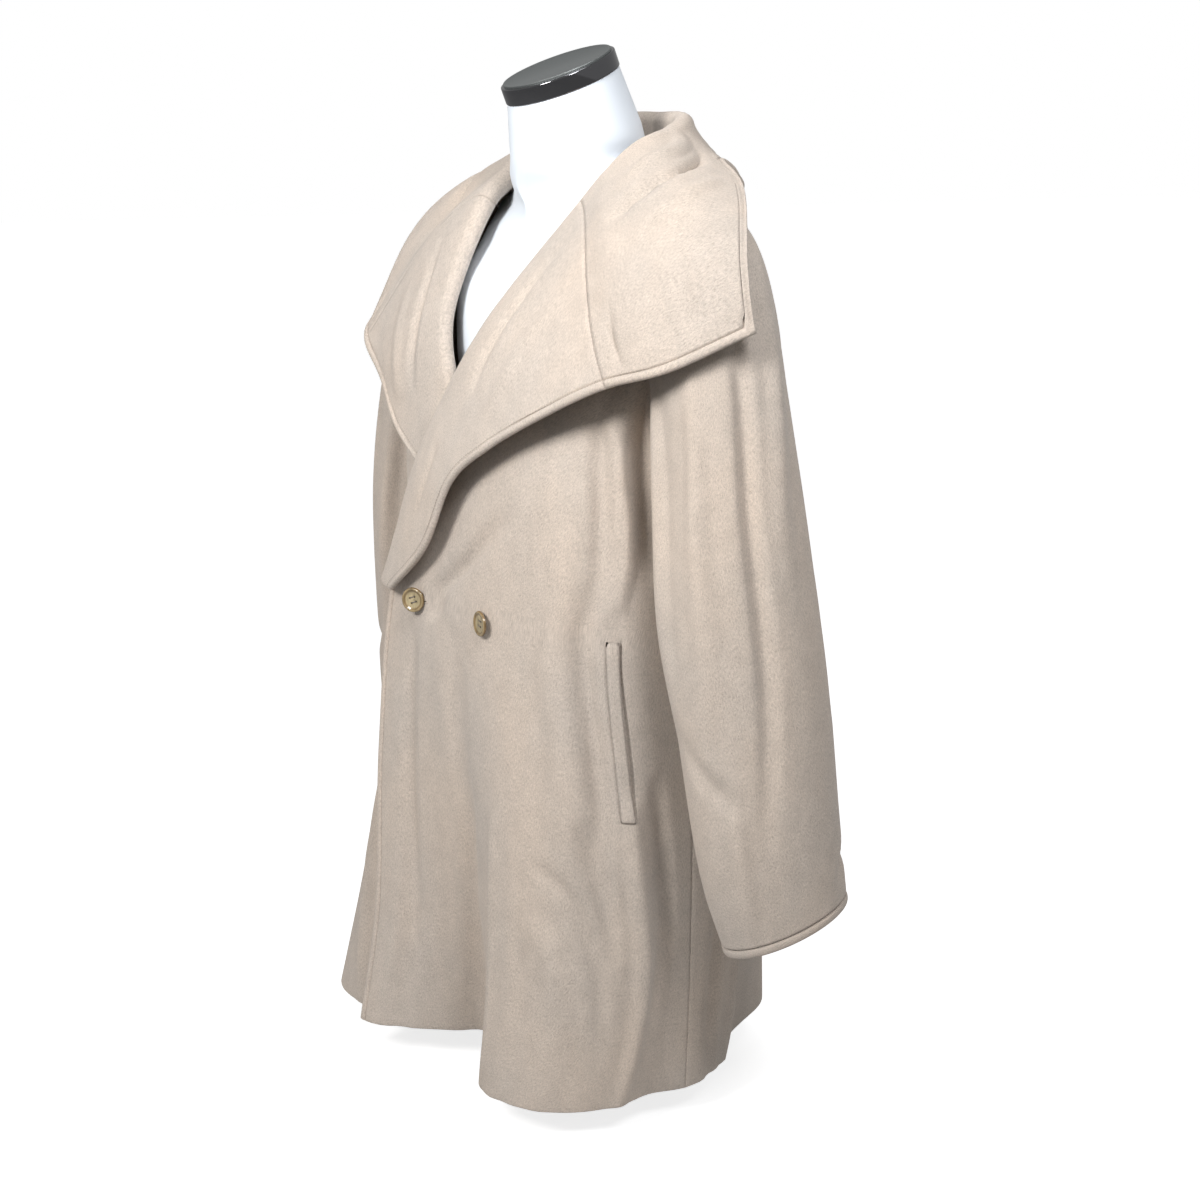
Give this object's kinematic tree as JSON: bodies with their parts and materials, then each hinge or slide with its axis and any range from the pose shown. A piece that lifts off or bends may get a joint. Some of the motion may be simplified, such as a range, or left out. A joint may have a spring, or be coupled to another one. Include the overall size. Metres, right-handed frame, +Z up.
{
  "type": "wide-collared wool coat on a dress form",
  "caption": "Loose double-breasted wool coat with a wing collar over the shoulders, long sleeves and slit pockets, on a white limbless dress form with a metal neck top.",
  "frame": {"origin": "on the floor, under the middle of the form's foot", "axes": "+Z up; the wearer would face -Y, so the wearer's left side is +X"},
  "size_m": [0.772, 0.3868, 1.0346],
  "materials": {
    "wool": "soft brushed wool coating",
    "horn": "satin horn",
    "form_cover": "smooth white, slightly matt",
    "polished_ring": "polished",
    "grey_top": "fine brushed grey",
    "stand_steel": "satin"
  },
  "bodies": {
    "root": {"front_left": "wool", "front_right": "wool", "back": "wool", "sleeve_left": "wool", "sleeve_right": "wool", "collar": "wool", "lapel_left": "wool", "lapel_right": "wool", "pocket_welt_left": "wool", "pocket_welt_right": "wool", "button_fastened": "horn", "button_spare": "horn", "form_torso": "form_cover", "form_neck_ring": "polished_ring", "form_neck_top": "grey_top", "form_pole": "stand_steel", "form_foot": "stand_steel"}
  },
  "joints": []
}
